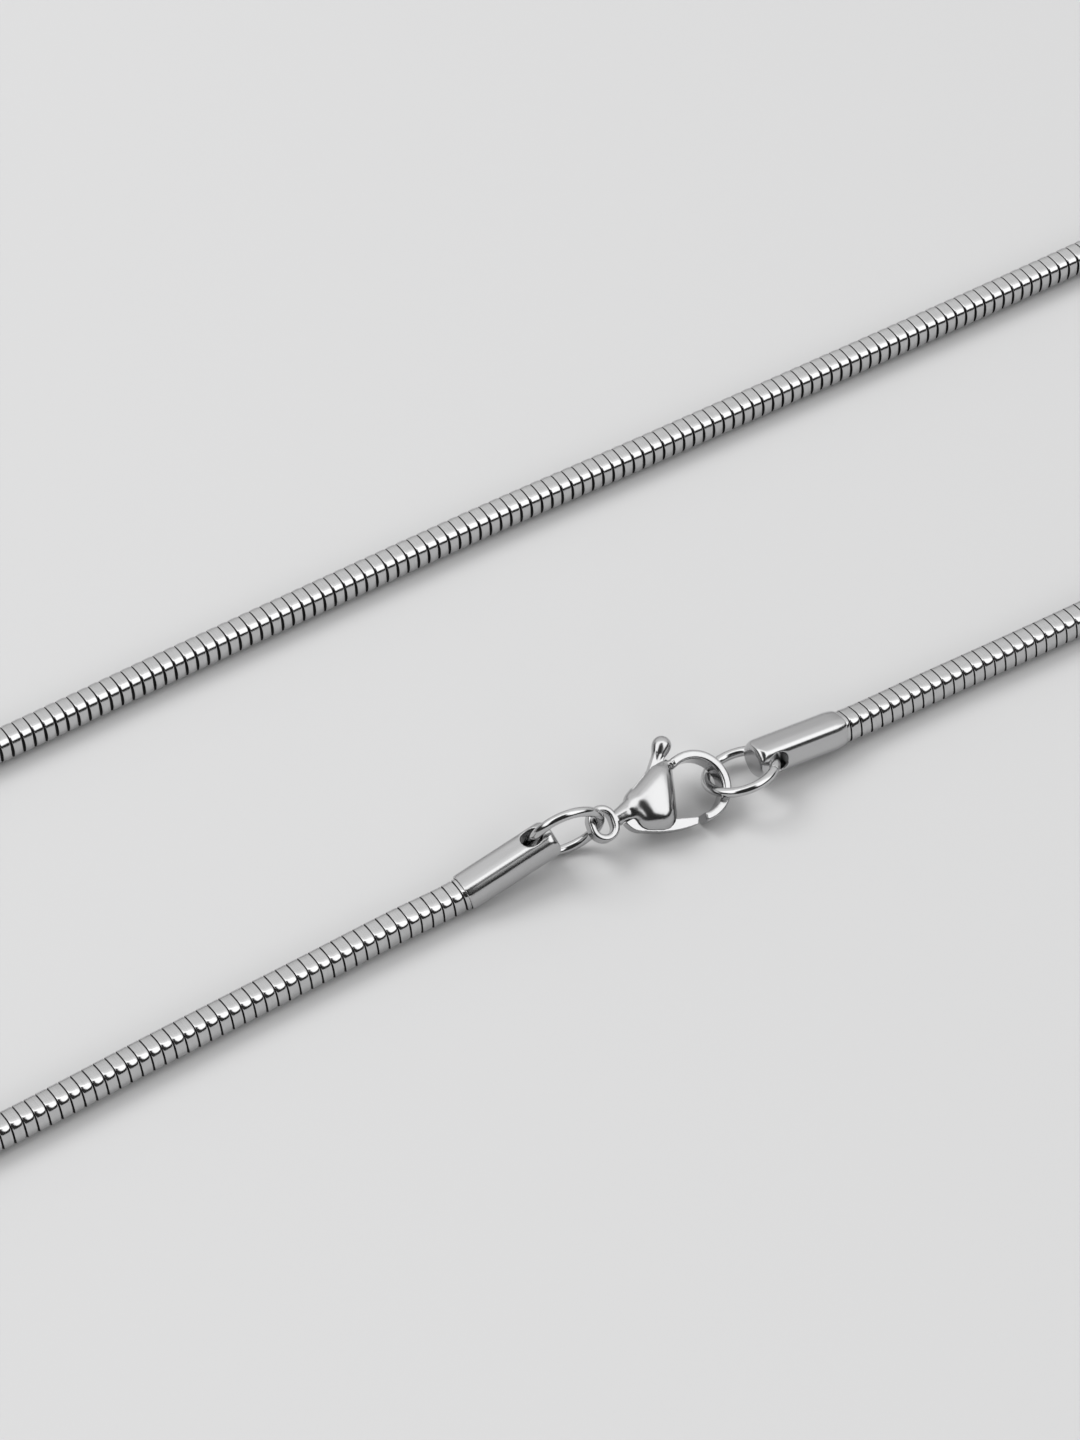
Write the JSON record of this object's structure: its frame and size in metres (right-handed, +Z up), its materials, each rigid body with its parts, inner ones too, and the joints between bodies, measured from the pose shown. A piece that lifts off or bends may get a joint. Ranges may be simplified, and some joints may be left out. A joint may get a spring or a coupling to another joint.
{
  "type": "snake chain necklace",
  "caption": "Square snake chain necklace in polished steel, closed by a lobster clasp with jump rings and tube end caps, laid flat in a loop.",
  "frame": {"origin": "centre of the laid loop's footprint, on the surface it lies on", "axes": "+X along the two long strands, towards the right-hand turn; +Y from the strand with the clasp to the other strand; +Z up"},
  "size_m": [0.208, 0.0388, 0.0065],
  "materials": {
    "chain_steel": "polished, fine dark seams between the links",
    "cap_steel": "soft satin polish",
    "ring_steel": "bright polish",
    "clasp_steel": "high polish"
  },
  "bodies": {
    "necklace": {"chain": "chain_steel", "end_cap_left": "cap_steel", "end_cap_right": "cap_steel", "jump_ring_left": "ring_steel", "jump_ring_right": "ring_steel", "clasp_body": "clasp_steel"},
    "lever": {"clasp_lever": "clasp_steel"}
  },
  "joints": [
    {"name": "lever_hinge", "type": "hinge", "parent": "necklace", "child": "lever", "pos_m": [-0.00536, -0.01587, 0.00247], "axis": [0.0412, -0.5092, 0.8597], "range_deg": [0, 22], "stiffness_Nm_per_rad": 0.01, "springref_deg": -17.19}
  ]
}
